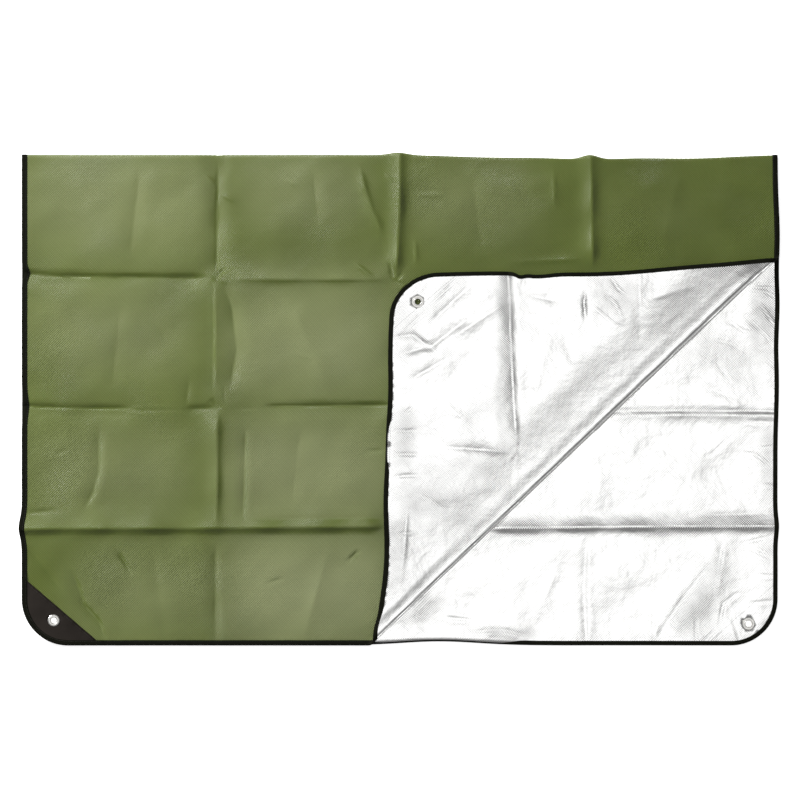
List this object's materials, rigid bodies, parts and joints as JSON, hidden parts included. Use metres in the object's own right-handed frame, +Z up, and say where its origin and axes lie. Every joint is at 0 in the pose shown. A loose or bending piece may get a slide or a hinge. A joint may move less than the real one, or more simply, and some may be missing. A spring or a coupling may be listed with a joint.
{
  "type": "emergency rescue tarp, folded in half with one corner turned back",
  "caption": "Reflective rescue tarp, silver inside and olive green outside, bound in black with eyeleted corner patches, lying folded in half with a corner turned back.",
  "frame": {"origin": "middle of the folded tarp's footprint, on the surface it lies on", "axes": "+X along the top fold, towards the side with the turned back corner; +Y towards the top fold; +Z up"},
  "size_m": [1.536, 0.9952, 0.0339],
  "materials": {
    "cloth": "coated woven cloth, olive green outside and silver inside",
    "tape": "matte woven edge tape",
    "patch": "matte coated patch",
    "eyelet_metal": "nickel plated"
  },
  "bodies": {
    "root": {"tarp_cloth": "cloth", "edge_tape": "tape", "patch_lower_left": "patch", "patch_lower_right": "patch", "patch_turned_back": "patch", "patch_upper_left": "patch", "eyelet_lower_left": "eyelet_metal", "eyelet_lower_right": "eyelet_metal", "eyelet_turned_back": "eyelet_metal", "eyelet_upper_left": "eyelet_metal", "washer_lower_left": "eyelet_metal", "washer_lower_right": "eyelet_metal", "washer_turned_back": "eyelet_metal", "washer_upper_left": "eyelet_metal"}
  },
  "joints": []
}
